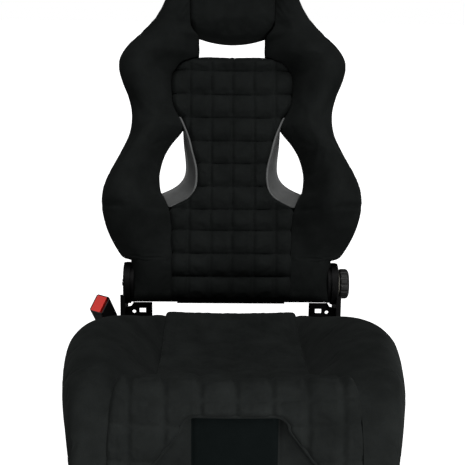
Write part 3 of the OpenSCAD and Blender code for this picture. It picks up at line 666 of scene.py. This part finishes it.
def along(line, first, last, count):
    """Even steps by length along a profile of (depth, drop), as depth values."""
    fine = steps(first, last, 3000)
    lengths = [0.0]
    for a, b in zip(fine, fine[1:]):
        lengths.append(lengths[-1] + math.hypot(b - a, curve(line, b) - curve(line, a)))
    result = []
    k = 0
    for i in range(count + 1):
        target = lengths[-1] * i / count
        while k < len(fine) - 1 and lengths[k] < target:
            k += 1
        result.append(fine[k])
    result[0] = first
    result[-1] = last
    return result, lengths[-1]


def tilt_at(line, d):
    """Outward normal (forward, up) of a profile at a depth."""
    rise = (curve(line, d + 0.4) - curve(line, d - 0.4)) / 0.8
    length = math.hypot(1, rise)
    return rise / length, 1 / length


# ---------------------------------------------------------------- cushion pads

# Distance between the sewn lines that run to the rear, and places of the cross lines along each pad.
SQUARE = 52.0
SEAT_ROWS = [113, 180, 248, 312]
THIGH_ROWS = [56, 94, 150]


def seat_pad():
    ds, length = along(CUSHION_LINE, REAR_D, CREST_D - 0.6, 190)
    us = [math.sin(t * math.pi / 2) for t in steps(-1, 1, 110)]
    front = []
    back = []
    free = []
    for i, d in enumerate(ds):
        s = length * i / (len(ds) - 1)
        half = curve(PANEL_HALF, d) + 0.4
        ahead, up = tilt_at(CUSHION_LINE, d)
        row = []
        rear = []
        for u in us:
            x = u * half
            rise = channel_rise(s, SEAT_ROWS, -30, length + 20)
            across = sum(groove(x - SQUARE * k, 9) for k in (-2, -1, 0, 1, 2)) * ease((s - 6) / 20)
            lift = 3.6 * rise - 2.0 * across * min(rise * 1.4, 1) - 2
            lift -= edge_drop(half * (1 - abs(u)), 9) + edge_drop(s + 0.3, 10)
            lift -= edge_drop(length - s + 0.3, 8)
            h = curve(CUSHION_LINE, d) - 5 * (x / 150) ** 2
            row.append(cushion_at(x, d + ahead * lift, h - up * lift))
            rear.append(cushion_at(u * (half + 4), d, 92.5))
            free.append(rise > 0.5 and across < 0.8 and half * (1 - abs(u)) > 5 and 5 < s < length - 5)
        front.append(row)
        back.append(rear)
    front.reverse()
    back.reverse()
    free = mirrored_flags(free[::-1], len(us))
    piece = slab("seat_pad_cover", front, back, "black_fabric", "seat_base", 60)
    swell(piece, free, 5.0, 0.003, 0.02)
    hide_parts("cushion_seat_pad")


seat_pad()

THIGH_DS, THIGH_LENGTH = along(CUSHION_LINE, CREST_D + 0.6, FRONT_D, 600)


def thigh_at(s):
    """Depth at a length down the front of the cushion."""
    index = min(max(s / THIGH_LENGTH, 0), 1) * 600
    low = min(int(index), 599)
    return mix(THIGH_DS[low], THIGH_DS[low + 1], index - low)


def thigh_length_of(h):
    low = 0.0
    high = THIGH_LENGTH
    while high - low > 0.05:
        middle = (low + high) / 2
        if curve(CUSHION_LINE, thigh_at(middle)) < h or middle < 25:
            low = middle
        else:
            high = middle
    return low


def horseshoe():
    """Inner and outer borders of the thigh pad as matching paths of (across, length down)."""
    end = THIGH_LENGTH
    inner = []
    outer = []
    corner_s = thigh_length_of(NOTCH_TOP_H + NOTCH_R)
    for t in steps(0, 1, 46):
        h = mix(BASE_H, NOTCH_TOP_H + NOTCH_R, t)
        inner.append((-notch_edge(h), thigh_length_of(h)))
        s = mix(end, 22, t)
        outer.append((-(curve(PANEL_HALF, thigh_at(s)) + 0.4), s))
    top_s = thigh_length_of(NOTCH_TOP_H)
    for k in range(1, 15):
        a = k / 14 * math.pi / 2
        inner.append((-NOTCH_HALF - NOTCH_R * math.cos(a), mix(corner_s, top_s, math.sin(a))))
        s = 22 - 22 * math.sin(a)
        x = curve(PANEL_HALF, thigh_at(22)) + 0.4 - 20 * (1 - math.cos(a)) * 0.9
        outer.append((-x, max(s, 0)))
    x_top = outer[-1][0]
    for t in steps(0, 1, 36)[1:]:
        inner.append((mix(-NOTCH_HALF, 0, t), top_s))
        outer.append((mix(x_top, 0, t), 0))
    inner += [(-x, s) for x, s in reversed(inner[:-1])]
    outer += [(-x, s) for x, s in reversed(outer[:-1])]
    return inner, outer


def thigh_pad():
    inner, outer = horseshoe()
    across = 44
    front = []
    back = []
    free = []
    for j in range(across + 1):
        t = 0.5 - 0.5 * math.cos(math.pi * j / across)
        row = []
        rear = []
        for (xi, si), (xo, so) in zip(inner, outer):
            x = mix(xi, xo, t)
            s = mix(si, so, t)
            gap = math.hypot(xo - xi, so - si)
            d = thigh_at(s)
            ahead, up = tilt_at(CUSHION_LINE, d)
            rise = channel_rise(s, THIGH_ROWS, -6, THIGH_LENGTH + 40)
            grooves = sum(groove(x - SQUARE * k, 10) for k in (-3, -2, -1, 0, 1, 2, 3))
            lift = 5.5 * rise - 4.2 * grooves * min(rise * 1.4, 1) - 3
            lift -= edge_drop(gap * t + 0.3, 8) + edge_drop(gap * (1 - t) + 0.3, 11)
            free.append(rise > 0.5 and grooves < 0.8 and 5 < gap * t < gap - 5)
            h = curve(CUSHION_LINE, d) - 5 * (x / 150) ** 2
            row.append(cushion_at(x, d + ahead * lift, min(h - up * lift, BASE_H)))
            inside = 26
            rear_h = min(h + up * inside, BASE_H)
            rear.append(cushion_at(x, max(d - ahead * inside, CREST_D + 1), rear_h))
        front.append(row)
        back.append(rear)
    piece = slab("thigh_pad_cover", front, back, "black_fabric", "seat_base", 60)
    swell(piece, free, 5.0, 0.003, 0.02)
    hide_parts("cushion_thigh_pad")
    rim = []
    for x, s in inner:
        d = thigh_at(s)
        ahead, up = tilt_at(CUSHION_LINE, d)
        h = curve(CUSHION_LINE, d) - 5 * (x / 150) ** 2
        rim.append(cushion_at(x * 0.995, d - ahead * 7, min(h + up * 7, BASE_H - 3)))
    tube("notch_piping", rim, 0.0035, "black_fabric", "seat_base")


thigh_pad()


def nose_pad():
    hs = steps(BASE_H, 53, 50)
    flat = 64.0
    front = []
    back = []
    for h in hs:
        half = notch_edge(h) - 2.5
        row = []
        rear = []
        edge = min(flat, half - 3)
        xs = steps(-half, -edge, 12) + steps(-edge, edge, 40)[1:-1] + steps(edge, half, 12)
        for x in xs:
            beyond = max(abs(x) - flat, 0) / max(half - flat + 1, 8)
            depth = NOTCH_BACK_D + 5 + 11 * ease(beyond) - 3 * groove(abs(x) - flat, 6)
            depth -= edge_drop(h - 52, 9)
            row.append(cushion_at(x, depth, h))
            rear.append(cushion_at(x, NOTCH_BACK_D - 14, h))
        front.append(row)
        back.append(rear)
    piece = slab("nose_pad_cover", front, back, "black_fabric", "seat_base", 60)
    # The flat middle of the nose pad takes the panel fabric, which is darkened as painted shade of the
    # recessed notch.
    piece.data.materials.append(MATERIALS["dark_panel_and_painted_shade"])
    for polygon in piece.data.polygons:
        column = max(abs(piece.data.vertices[v].co.x) for v in polygon.vertices)
        polygon.material_index = 1 if column < flat / 1000 + 1e-5 else 0
    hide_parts("cushion_nose_pad")


nose_pad()


def cushion_bolster(side_name, mirror):
    ds, _ = along(BOLSTER_CROWN, REAR_D, FRONT_D, 210)
    ds.reverse()
    front = []
    back = []
    free = []
    for d in ds:
        inner_x = curve(PANEL_HALF, d)
        outer_x = curve(CUSHION_HALF, d)
        valley = 8 + 9 * ease((d - 40) / 60) * (1 - ease((d - 300) / 90))
        inner_h = curve(CUSHION_LINE, d) - 5 * (inner_x / 150) ** 2 + valley
        crown = min(curve(BOLSTER_CROWN, d), inner_h - 2)
        top = mix(0.56, 0.62, ease((d - 60) / 120) * (1 - ease((d - 400) / 40)))
        section = []
        for k in range(25):
            t = k / 24
            rise = math.sin(t * math.pi / 2) ** 1.6
            x = mix(inner_x, mix(inner_x, outer_x, top), t ** 1.1)
            section.append((x, mix(inner_h, crown, rise)))
        for k in range(1, 23):
            a = k / 22 * math.pi / 2
            x = mix(mix(inner_x, outer_x, top), outer_x, math.sin(a) ** 0.95)
            section.append((x, mix(crown + 38, crown, math.cos(a))))
        for k in range(1, 13):
            t = k / 12
            section.append((outer_x - 7 * ease(t) ** 2, mix(crown + 38, BASE_H, t)))
        row = []
        rear = []
        for k, (x, h) in enumerate(section):
            row.append(cushion_at(x, d, min(h, BASE_H)))
            rear.append(cushion_at(mix(inner_x, x, 0.98), d, BASE_H + 0.3))
            free.append(2 < k < len(section) - 4 and REAR_D + 12 < d < FRONT_D - 2)
        front.append(row)
        back.append(rear)
    if mirror:
        front = mirrored(front)
        back = mirrored(back)
        free = mirrored_flags(free, len(front[0]))
    piece = slab("thigh_bolster_cover_" + side_name, front, back, "black_fabric", "seat_base", 60)
    swell(piece, free, 2.0, 0.003, 0.003)
    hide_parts("cushion_bolster_" + side_name)


cushion_bolster("left", True)
cushion_bolster("right", False)


def rear_valance():
    """Cover over the back of the foam core, drawn in at its sewn edges and in two sewn pleats."""
    low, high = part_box("cushion_foam_core")
    left = low[0] * 1000 + 0.5
    right = high[0] * 1000 - 0.5
    bottom = low[2] * 1000 + 0.5
    top = high[2] * 1000 + 1
    face_y = high[1] * 1000
    front = []
    back = []
    for z in steps(bottom, top, 30):
        row = []
        rear = []
        for x in steps(right, left, 90):
            edge = min(x - left, right - x)
            pleat = groove(abs(x) - 52, 7)
            puff = 5.5 - edge_drop(edge, 9) * 0.5 - 2.6 * pleat
            puff -= (edge_drop(z - bottom, 8) + edge_drop(top - z, 6)) * 0.45
            row.append(Vector((x, face_y + max(puff, 0.8), z)) / 1000)
            rear.append(Vector((x, face_y + 0.2, z)) / 1000)
        front.append(row)
        back.append(rear)
    piece = slab("cushion_rear_valance", front, back, "black_fabric", "seat_base", 60)


rear_valance()


# ---------------------------------------------------------------- shell

SHELL_WALL = 4.0
SLOT_LOW = 427.0
SLOT_HIGH = 476.0
SLOT_HALF = 63.0


def prism(outline):
    """Closed prism through the depth of the backrest, for cutting."""
    count = len(outline)
    points = [back_at(x, w, n) for n in (-120, 160) for x, w in outline]
    faces = [tuple(range(count)), tuple(reversed(range(count, 2 * count)))]
    for k in range(count):
        m = (k + 1) % count
        faces.append((k, k + count, m + count, m))
    mesh = bpy.data.meshes.new("cutter")
    mesh.from_pydata([tuple(p) for p in points], [], faces)
    cutter = bpy.data.objects.new("cutter", mesh)
    bpy.context.scene.collection.objects.link(cutter)
    return cutter


def cut(obj, cutter):
    step = obj.modifiers.new("cut", "BOOLEAN")
    step.operation = "DIFFERENCE"
    step.solver = "EXACT"
    step.object = cutter
    bpy.context.view_layer.update()
    shape = obj.evaluated_get(bpy.context.evaluated_depsgraph_get())
    mesh = bpy.data.meshes.new_from_object(shape)
    obj.modifiers.clear()
    obj.data = mesh
    bpy.data.objects.remove(cutter)


def opening_outline(side):
    up = [(side * curve(OPENING_INNER, w), w) for w in steps(168, 288, 40)]
    down = [(side * (curve(BOLSTER_INNER, w) + 2), w + 0.5) for w in steps(288, 168, 40)]
    outline = up + down
    return outline if side > 0 else list(reversed(outline))


def back_shell():
    ws = steps(-18, BACK_TOP - 4, 180)
    us = steps(-1, 1, 110)
    front = []
    back = []
    for w in ws:
        row = []
        rear = []
        for u in us:
            x = u * (curve(BACK_HALF, w) - 4)
            n = shell_n(x, w)
            swage = groove(abs(x) - mix(62, 40, ease((w - 100) / 420)), 13) * ease((w - 20) / 60)
            swage *= 1 - ease((w - 380) / 40)
            rear_n = n - SHELL_WALL - 1.6 * swage
            roll = edge_drop((1 - abs(u)) * curve(BACK_HALF, w), 5) * 0.5
            row.append(back_at(x, w, n - roll * 0.4))
            rear.append(back_at(x, w, rear_n + roll))
        front.append(row)
        back.append(rear)
    piece = slab("shell_moulding", front, back, "grey_shell", "backrest", 40)
    for side in (-1, 1):
        cut(piece, prism(opening_outline(side)))
    slot = [
        (-SLOT_HALF, SLOT_HIGH), (SLOT_HALF, SLOT_HIGH), (SLOT_HALF, SLOT_LOW), (-SLOT_HALF, SLOT_LOW),
    ]
    cut(piece, prism(slot))
    piece.data.polygons.foreach_set("use_smooth", [True] * len(piece.data.polygons))
    piece.data.set_sharp_from_angle(angle=math.radians(40))
    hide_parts("back_shell")


back_shell()


def opening_surround(side_name, side):
    """Moulded lip and funnel from the edge of the centre pad back to the side opening."""
    rows = []
    count = 90
    for k in range(count + 1):
        t = k / count
        pad_w = mix(309, 139, t)
        hole_w = mix(291, 168, t ** 1.15)
        pad_x = curve(CENTRE_HALF, pad_w)
        hole_x = curve(OPENING_INNER, hole_w)
        lip_n = curve(PAD_LINE, pad_w) - 8
        hole_n = shell_n(hole_x, hole_w) - 1
        row = [(pad_x - 1.0, pad_w, lip_n - 6)]
        for a in steps(0, 1, 8):
            angle = math.pi * (1 - a)
            row.append((pad_x + 1.4 + 2.2 * math.cos(angle), pad_w - 0.6, lip_n + 2.2 * math.sin(angle)))
        for a in steps(0, 1, 16)[1:]:
            n = hole_n + (lip_n - 1 - hole_n) * (1 - a) ** mix(2.8, 1.5, ease(t * 1.6 - 0.6))
            row.append((mix(pad_x + 3.6, hole_x, a), mix(pad_w - 0.6, hole_w, a), n))
        row.append((hole_x + 0.6, hole_w, hole_n - 3))
        row.append((hole_x + 0.6, hole_w, hole_n - 8))
        rows.append([back_at(side * x, w, n) for x, w, n in row])
    inner = []
    for row in rows:
        inner.append([p + Vector((0, 0.0016, -0.0006)) for p in row])
    if side < 0:
        rows = [list(reversed(r)) for r in rows]
        inner = [list(reversed(r)) for r in inner]
    rows.reverse()
    inner.reverse()
    slab("opening_surround_" + side_name, rows, inner, "grey_shell", "backrest", 70)


opening_surround("left", -1)
opening_surround("right", 1)


# ---------------------------------------------------------------- studio

def pale_floor():
    """Floor that looks pale to the camera and throws little light up at the seat."""
    scene = bpy.context.scene
    mesh = bpy.data.meshes.new("floor")
    size = 14
    corners = [(-size, -size, 0), (size, -size, 0), (size, size, 0), (-size, size, 0)]
    mesh.from_pydata(corners, [], [(0, 1, 2, 3)])
    floor = bpy.data.objects.new("floor", mesh)
    scene.collection.objects.link(floor)
    paint = bpy.data.materials.new("floor_paint")
    paint.use_nodes = True
    shader = paint.node_tree.nodes["Principled BSDF"]
    shader.inputs["Base Color"].default_value = (0.9, 0.9, 0.9, 1)
    shader.inputs["Roughness"].default_value = 0.9
    shader.inputs["Specular IOR Level"].default_value = 0.0
    shader.inputs["Emission Color"].default_value = (1, 1, 1, 1)
    shader.inputs["Emission Strength"].default_value = 0.85
    tree = paint.node_tree
    bounce = tree.nodes.new("ShaderNodeBsdfDiffuse")
    bounce.inputs["Color"].default_value = (0.25, 0.25, 0.25, 1)
    ray = tree.nodes.new("ShaderNodeLightPath")
    pick = tree.nodes.new("ShaderNodeMixShader")
    tree.links.new(ray.outputs["Is Camera Ray"], pick.inputs["Fac"])
    tree.links.new(bounce.outputs["BSDF"], pick.inputs[1])
    tree.links.new(shader.outputs["BSDF"], pick.inputs[2])
    tree.links.new(pick.outputs["Shader"], tree.nodes["Material Output"].inputs["Surface"])
    mesh.materials.append(paint)


def pale_world():
    """White backdrop with a weak all-round light."""
    world = bpy.data.worlds.new("studio")
    world.use_nodes = True
    nodes = world.node_tree.nodes
    seen = nodes["Background"]
    seen.inputs["Color"].default_value = (1, 1, 1, 1)
    soft = nodes.new("ShaderNodeBackground")
    soft.inputs["Color"].default_value = (1, 1, 1, 1)
    soft.inputs["Strength"].default_value = 0.06
    path = nodes.new("ShaderNodeLightPath")
    choice = nodes.new("ShaderNodeMixShader")
    world.node_tree.links.new(path.outputs["Is Camera Ray"], choice.inputs["Fac"])
    world.node_tree.links.new(soft.outputs["Background"], choice.inputs[1])
    world.node_tree.links.new(seen.outputs["Background"], choice.inputs[2])
    world.node_tree.links.new(choice.outputs["Shader"], nodes["World Output"].inputs["Surface"])
    bpy.context.scene.world = world


def lamps():
    """Broad light from above and in front, and a low wide one on the front of the cushion."""
    scene = bpy.context.scene
    light = bpy.data.lights.new("skylight", "SUN")
    light.energy = 1.75
    light.angle = math.radians(50)
    lamp = bpy.data.objects.new("skylight", light)
    scene.collection.objects.link(lamp)
    lamp.rotation_euler = (math.radians(24), 0, math.radians(8))
    low = bpy.data.lights.new("low_front", "AREA")
    low.shape = "RECTANGLE"
    low.size = 1.6
    low.size_y = 0.18
    low.energy = 19
    lamp = bpy.data.objects.new("low_front", low)
    scene.collection.objects.link(lamp)
    place = Vector((0.8, -1.7, 0.09))
    aim = Vector((0, -0.2, 0.2)) - place
    lamp.location = place
    lamp.rotation_euler = aim.to_track_quat("-Z", "Y").to_euler()


FRAME_PIXELS = 465
FOCAL_PIXELS = 1010
CAMERA_FROM_AXIS = Vector((0, -1.8107, 0.5836))


def camera():
    """Camera in front of the seat, a little above it, aimed at the middle of the recline axis."""
    scene = bpy.context.scene
    pitch = math.radians(15)
    yaw = math.radians(1.15)
    roll = math.radians(0.7)
    target = Vector((0.0021, 0.215, 0.315))
    aim = Matrix.Rotation(-yaw, 4, "Z") @ Matrix.Rotation(math.pi / 2 - pitch, 4, "X")
    aim = aim @ Matrix.Rotation(roll, 4, "Z")
    data = bpy.data.cameras.new("view")
    data.sensor_width = 36
    data.lens = FOCAL_PIXELS / FRAME_PIXELS * data.sensor_width
    data.clip_end = 60
    view = bpy.data.objects.new("view", data)
    scene.collection.objects.link(view)
    offset = Matrix.Rotation(-yaw, 4, "Z") @ CAMERA_FROM_AXIS
    view.matrix_world = Matrix.Translation(target + offset) @ aim
    scene.camera = view


pale_floor()
pale_world()
lamps()
camera()
bpy.context.scene.view_settings.view_transform = "Standard"
